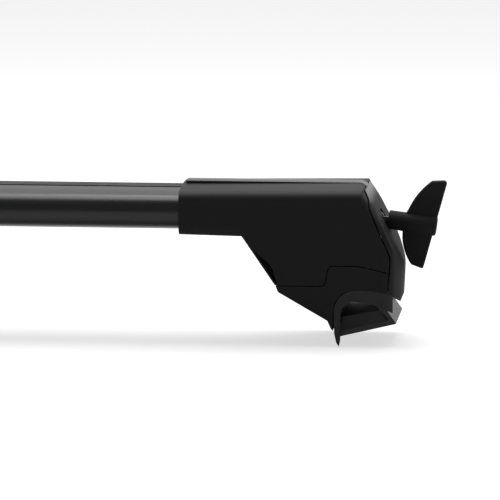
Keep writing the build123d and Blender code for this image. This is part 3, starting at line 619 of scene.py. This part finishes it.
pad_top = PAD_TOP - PAD_GAP
pad_back = rounded([(108.4, -82.1), (107.7, pad_top), (SADDLE_BREAK, pad_top), (145.5, -54.1), (149.9, -54.9),
                    ARCH_HEEL, (130.0, -90.0)], [0, SADDLE_RADIUS, 0, 0, 3.0, 0, 0])[:-1]
pad_arch = arc(ARCH_HEEL, (136.8, -62.7), ARCH_CREST) + arc(ARCH_CREST, (115.3, -63.2), (112.6, -71.5))[1:]
pad_blade = [Vector(point) for point in ((112.4, -87.5), (111.6, -91.5), (109.8, -88.7))]
pad = side_form(pad_back + pad_arch[1:] + pad_blade, -HALF_DEPTH, HALF_DEPTH)
pad = combined("DIFFERENCE", pad, side_form(JAW_WAY, -WAY_HALF - 1, WAY_HALF + 1),
               cross_form([(-HORN_GAP_HALF, HORN_TOP), (HORN_GAP_HALF, HORN_TOP), (HORN_GAP_HALF, -110.0),
                           (-HORN_GAP_HALF, -110.0)], 102.0, 116.0))
pad_plan = [(90.0, HALF_DEPTH)] + [(p.x, p.y) for p in bowed_plan(0)[1:-1]] + [(90.0, -HALF_DEPTH)]
pad = combined("INTERSECT", pad, plan_form(pad_plan))
for depth in (-PEG_OFFSET, PEG_OFFSET):
    peg = plan_form(disc(PEG_REACH, depth, PEG_RADIUS), PAD_TOP - PEG_ROOT, PAD_TOP + PEG_LENGTH)
    pad = combined("UNION", pad, peg)
make_pair("rail_pad", pad, "foot", "saddle_pad", rubber)

# The jaw
# A steel plate bent into a leg, an arm and a hook that grips the rail from outside. It is punched for two
# rivets and two cover screws. Each bend has an outer and an inner radius, from the hook up.
JAW_THICKNESS, JAW_HALF = 4.0, 33.0
JAW_BENDS = [(0.4, 0.5), (2.0, 6.0)]
PUNCH_START, PUNCH_END = 125.0, 145.0
RIVET_OFFSET, RIVET_HEIGHT, RIVET_HOLE, COVER_SCREW_HOLE = 10.0, -24.0, 2.55, 2.3
jaw_line = [(110.5, -85.7), (151.3, -76.0), (LEG_FACE, -55.4), (LEG_FACE, -17.5)]


def bent_plate(line, thickness, radii):
    """Outline of a bent plate, from the corners of its outer face."""
    outer = [Vector(point) for point in line]
    inner = []
    for i, corner in enumerate(outer):
        sides = [(b - a).normalized() for a, b in zip(outer[max(i - 1, 0):i + 1], outer[max(i, 1):i + 2])]
        normals = [Vector((-along.y, along.x)) for along in sides]
        mitre = sum(normals, Vector((0, 0))).normalized()
        inner.append(corner + mitre * thickness / mitre.dot(normals[0]))
    outer_radii = [radius for radius, _ in radii]
    inner_radii = [radius for _, radius in reversed(radii)]
    return rounded(outer + inner[::-1], [0, *outer_radii, 0, 0, *inner_radii, 0])


jaw = side_form(bent_plate(jaw_line, JAW_THICKNESS, JAW_BENDS), -JAW_HALF, JAW_HALF)
jaw_hole_kinds = [(RIVET_OFFSET, RIVET_HEIGHT, RIVET_HOLE),
                  (COVER_SCREW_OFFSET, COVER_SCREW_HEIGHT, COVER_SCREW_HOLE)]
jaw_holes = [cross_form(disc(side * offset, height, radius), PUNCH_START, PUNCH_END)
             for offset, height, radius in jaw_hole_kinds for side in (-1, 1)]
jaw = combined("DIFFERENCE", jaw, *jaw_holes)
make_pair("hook_plate", jaw, "clamp", "jaw", electrocoat)

# The jaw's liner
# A block of the pad's rubber, bonded along the hook's upper face so that the rail's finish isn't marked.
LINER_START, LINER_END = 113.0, 145.2
LINER_NOSE, LINER_PEAK, LINER_LIP = -71.6, (139.6, -66.4), 0.6
hook_rise = (jaw_line[1][1] - jaw_line[0][1]) / (jaw_line[1][0] - jaw_line[0][0])
hook_top = jaw_line[0][1] + JAW_THICKNESS / cos(atan2(hook_rise, 1))
liner_bed = [(reach, hook_top + (reach - jaw_line[0][0]) * hook_rise) for reach in (LINER_START, LINER_END)]
liner = side_form(rounded([liner_bed[0], (LINER_START, LINER_NOSE), LINER_PEAK,
                           (LINER_END, liner_bed[1][1] + LINER_LIP), liner_bed[1]], [0, 0.8, 0.5, 0, 0]),
                  -JAW_HALF, JAW_HALF)
make_pair("hook_liner", liner, "clamp", "jaw_liner", rubber)

# The plated hardware
# Screws, nuts, rivets, rings and carriages are steel, zinc plated, with faint turning marks. The thrust
# washers and the key's bit are blackened instead.


def plated_steel(name, dull, bright):
    finish = Finish(name)
    marks = finish.noise(1500.0, 2.0, (1, 0.2, 1))
    clouds = finish.noise(90.0, 3.0)
    shade = finish.blend(clouds, dull, bright)
    return finish.set(Base_Color=shade, Metallic=1.0, Roughness=finish.between(clouds, 0.3, 0.7, 0.30, 0.42),
                      Normal=finish.bump(marks, 0.00001, finish.soft_edges(0.0004)))


plated = plated_steel("zinc_plated_steel", (0.46, 0.46, 0.47, 1), (0.60, 0.60, 0.60, 1))
blackened = plated_steel("blackened_steel", (0.018, 0.018, 0.019, 1), (0.03, 0.03, 0.031, 1))
for kind in ("bar_nut_plate", "bar_screws", "base_screws", "housing_screws", "barrel_nut", "slide_carriage",
             "jaw_rivets", "cover_screws", "bolt_clip"):
    dress(both(kind), plated)
dress(["key_bit"] + both("thrust_washer"), blackened)

# The clamp bolt
# A socket-head bolt in blackened steel. Its thread is rolled on the shank, from its point almost to the clip.
BOLT_POINT, BOLT_NECK, BOLT_SEAT = 77.0, 124.0, KEY_HOLE_START
BOLT_AXIS = KEY_HOLE_HEIGHT
BOLT_PITCH, THREAD_ROOT, BOLT_RADIUS = 2.0, 3.35, 3.97
HEAD_RADIUS, HEAD_FLANK, HEAD_LENGTH, HEAD_CHAMFER = 6.5, 3.6, 5.8, 1.8
SOCKET_CORNER, SOCKET_DEPTH = 3.81, 5.0
RINGS_PER_TURN, THREAD_START = 8, 0.7


def turned(profile, point_at, sides=40):
    """Closed turned solid, from its radius at each length. A radius may be a function of a turn's share."""
    form = bmesh.new()
    rings = []
    for along, radius in profile:
        radii = [radius(i / sides) if callable(radius) else radius for i in range(sides)]
        ring = []
        for i, reach in enumerate(radii):
            angle = tau * i / sides
            ring.append(form.verts.new(point_at(along, reach * cos(angle), reach * sin(angle))))
        rings.append(ring)
    return skinned(form, rings)


def hexagon(corner):
    """Six points at a distance from the centre, with flats to both sides."""
    angles = [radians(30 + 60 * i) for i in range(6)]
    return [Vector((corner * cos(angle), corner * sin(angle))) for angle in angles]


def thread_at(along):
    """Radius round the thread at a length along it: root, flank, crest and flank in each pitch."""
    def radius(share):
        phase = (along / BOLT_PITCH - share) % 1.0
        rise = min(1.0, max(0.0, 2.6 * (0.5 - abs(phase - 0.5)) - 0.15))
        fade = min(1.0, (along - BOLT_POINT) / 2.5, (BOLT_NECK - along) / 1.5)
        return THREAD_ROOT + (BOLT_RADIUS - THREAD_ROOT) * rise * max(0.0, fade)
    return radius


thread_run = BOLT_NECK - BOLT_POINT - THREAD_START
steps = int((BOLT_NECK - BOLT_POINT) * RINGS_PER_TURN / BOLT_PITCH)
thread_rings = [BOLT_POINT + THREAD_START + thread_run * i / steps for i in range(steps + 1)]
bolt_profile = [(BOLT_POINT, 2.6)] + [(along, thread_at(along)) for along in thread_rings]
bolt_profile += [(BOLT_NECK + 0.6, BOLT_RADIUS), (BOLT_SEAT, BOLT_RADIUS), (BOLT_SEAT, HEAD_RADIUS),
                 (BOLT_SEAT + HEAD_FLANK, HEAD_RADIUS), (BOLT_SEAT + HEAD_LENGTH, HEAD_RADIUS - HEAD_CHAMFER)]
bolt = turned(bolt_profile, lambda along, depth, across: at(along, depth, across + BOLT_AXIS), 32)
socket = [point + Vector((0, BOLT_AXIS)) for point in hexagon(SOCKET_CORNER)]
socket_floor = BOLT_SEAT + HEAD_LENGTH - SOCKET_DEPTH
bolt = combined("DIFFERENCE", bolt, cross_form(socket, socket_floor, BOLT_SEAT + 10.0))
make_pair("threaded_bolt", bolt, "bolt", "clamp_bolt", blackened)

# The key
# A loose wing key, moulded in the same nylon on a steel hexagon bit. It hangs in the bolt's socket at a
# slight droop, and its round hub leans a little further than the bit.
KEY_ROOT, KEY_DROOP, HUB_DROOP = (138.5, BOLT_AXIS), radians(3.0), radians(4.6)
WING_HALF, WING_CHAMFER = 2.5, 0.8
HUB_RADIUS, HUB_ROUND = 7.0, 2.0
BIT_CORNER, BIT_START, BIT_END = 3.49, 2.0, 20.0
HUB_START, HUB_END, HUB_RISE = 4.8, 34.0, 1.0


def on_key(along, depth, across):
    """Point on the key, from its length, depth and height off the bit's axis."""
    return at(KEY_ROOT[0] + along * cos(KEY_DROOP) + across * sin(KEY_DROOP), depth,
              KEY_ROOT[1] - along * sin(KEY_DROOP) + across * cos(KEY_DROOP))


def chamfered(outline, half, edge):
    """Flat solid in the key's side view, chamfered all round both faces."""
    inner = taken_in(outline, edge)
    form = bmesh.new()
    rings = []
    for ring, depth in ((inner, -half), (outline, edge - half), (outline, half - edge), (inner, half)):
        rings.append([form.verts.new(on_key(point.x, depth, point.y)) for point in ring])
    return skinned(form, rings)


def on_hub(along, depth, across):
    """Point on the leaning hub, from its length, depth and height off its own axis."""
    return on_key(HUB_START + along * cos(HUB_DROOP) + across * sin(HUB_DROOP), depth,
                  HUB_RISE - along * sin(HUB_DROOP) + across * cos(HUB_DROOP))


wing_outline = arc((16.0, 0), (16.3, 5.0), (18.2, 9.0), 5)
wing_outline += arc((18.2, 9.0), (25.2, 21.4), (33.6, 30.0), 9)[1:]
wing_outline += arc((41.6, 30.8), (43.5, 30.1), (44.0, 28.2), 4)
wing_outline += arc((31.1, -30.6), (30.5, -31.6), (29.4, -31.6), 3)
wing_outline += arc((22.3, -29.4), (17.1, -19.8), (15.0, -8.0), 9) + [Vector((15.1, -4.0))]
hub_profile = [(0, 6.2), (0.15, 6.45), (0.5, 6.6), (HUB_END - HUB_ROUND, HUB_RADIUS)]
hub_profile += [(HUB_END - HUB_ROUND + HUB_ROUND * sin(radians(i * 15)),
                 HUB_RADIUS - HUB_ROUND + HUB_ROUND * cos(radians(i * 15))) for i in range(1, 7)]
key = combined("UNION", chamfered(wing_outline, WING_HALF, WING_CHAMFER), turned(hub_profile, on_hub))
bore = drawn(hexagon(BIT_CORNER), lambda point, along: on_key(along, point.x, point.y), BIT_START, BIT_END)
key = combined("DIFFERENCE", key, bore)
make_piece("wing_key", key, "key", "key_handle", grained_plastic("key_nylon", 1.6, 0.0))

# The table and the light
# A pale floor under the feet, a large soft lamp overhead and a white surround, as in a small product studio.
FLOOR_HALF = 8.0
FLOOR_LIT, FLOOR_GLOW, FLOOR_SHADED = (0.8, 0.8, 0.8, 1), 0.62, (0.62, 0.62, 0.62, 1)
STUDIO_DARK_END, AMBIENT = 0.22, 0.55


def pale_floor():
    """Pale paint to every other ray, and to the camera a white floor that keeps only part of its shadow."""
    finish = Finish("pale_floor")
    paint = finish.node("ShaderNodeBsdfDiffuse", None, {"Color": FLOOR_LIT})
    shaded = finish.node("ShaderNodeBsdfDiffuse", None, {"Color": FLOOR_SHADED})
    glow = finish.node("ShaderNodeEmission", None, {"Color": (1, 1, 1, 1), "Strength": FLOOR_GLOW})
    seen = finish.node("ShaderNodeAddShader", None, [shaded, glow])
    rays = finish.node("ShaderNodeLightPath", out="Is Camera Ray")
    mixed = finish.node("ShaderNodeMixShader", None, {0: rays, 1: paint, 2: seen})
    finish.tree.links.new(mixed.socket, finish.tree.nodes["Material Output"].inputs["Surface"])
    return finish.material


corners = [(x * FLOOR_HALF, y * FLOOR_HALF, cad_low[2]) for x, y in ((-1, -1), (1, -1), (1, 1), (-1, 1))]
floor_mesh = bpy.data.meshes.new("floor")
floor_mesh.from_pydata(corners, [], [(0, 1, 2, 3)])
floor_mesh.materials.append(pale_floor())
floor = bpy.data.objects.new("floor", floor_mesh)
bpy.context.scene.collection.objects.link(floor)

world = bpy.data.worlds.new("white_surround")
bpy.context.scene.world = world
world.use_nodes = True
sky = world.node_tree


def sky_node(kind, settings=None, inputs=(), out=0):
    """A node of the world's tree and one of its outputs."""
    made = sky.nodes.new(kind)
    for key, value in (settings or {}).items():
        setattr(made, key, value)
    for key, value in dict(inputs).items():
        if isinstance(value, bpy.types.NodeSocket):
            sky.links.new(value, made.inputs[key])
        else:
            made.inputs[key].default_value = value
    return made.outputs[out]


# The surround is white where the camera looks, and greyer on the camera's own side, like a studio's dark end.
direction = sky_node("ShaderNodeTexCoord", out="Generated")
ahead = sky_node("ShaderNodeSeparateXYZ", inputs={0: direction}, out="Y")
studio = sky_node("ShaderNodeMapRange", inputs={"Value": ahead, "From Min": -0.5, "From Max": 0.3,
                                                "To Min": STUDIO_DARK_END, "To Max": 1.0})
glossy = sky_node("ShaderNodeLightPath", out="Is Glossy Ray")
through = sky_node("ShaderNodeLightPath", out="Is Transmission Ray")
mirrored = sky_node("ShaderNodeMath", {"operation": "MAXIMUM"}, {0: glossy, 1: through})
level = sky_node("ShaderNodeMapRange", inputs={"Value": mirrored, "To Min": AMBIENT, "To Max": 1.0})
lighting = sky_node("ShaderNodeMath", {"operation": "MULTIPLY"}, {0: level, 1: studio})
camera_ray = sky_node("ShaderNodeLightPath", out="Is Camera Ray")
strength = sky_node("ShaderNodeMath", {"operation": "MAXIMUM"}, {0: lighting, 1: camera_ray})
sky.links.new(strength, sky.nodes["Background"].inputs["Strength"])
sky.nodes["Background"].inputs["Color"].default_value = (1, 1, 1, 1)


def soft_lamp(name, place, aim, size, watts):
    """A rectangular soft lamp at a place, turned to face a point."""
    lamp = bpy.data.lights.new(name, "AREA")
    lamp.shape = "RECTANGLE"
    lamp.size, lamp.size_y = size
    lamp.energy = watts
    holder = bpy.data.objects.new(name, lamp)
    facing = (Vector(aim) - Vector(place)).to_track_quat("-Z", "Y").to_matrix().to_4x4()
    holder.matrix_world = Matrix.Translation(place) @ facing
    bpy.context.scene.collection.objects.link(holder)


soft_lamp("overhead_softbox", (0.32, 0.34, 1.4), (0.42, 0, 0), (1.5, 1.2), 18.0)

# The camera
# A long lens a few metres away, a little to the right of the foot and a little above it.
AZIMUTH = radians(5.3)
ELEVATION = radians(8.5)
DISTANCE = 4.0
AIM = Vector((0.4913, 0.0, -0.0455))
FRAME_WIDTH = 0.3497
camera = bpy.data.cameras.new("camera")
camera.sensor_width = 36.0
camera.lens = 36.0 * DISTANCE / FRAME_WIDTH
camera.clip_end = 50.0
viewer = bpy.data.objects.new("camera", camera)
back = Vector((sin(AZIMUTH) * cos(ELEVATION), -cos(AZIMUTH) * cos(ELEVATION), sin(ELEVATION)))
facing = (-back).to_track_quat("-Z", "Y").to_matrix().to_4x4()
viewer.matrix_world = Matrix.Translation(AIM + back * DISTANCE) @ facing
bpy.context.scene.collection.objects.link(viewer)
bpy.context.scene.camera = viewer
bpy.context.scene.view_settings.view_transform = "Standard"
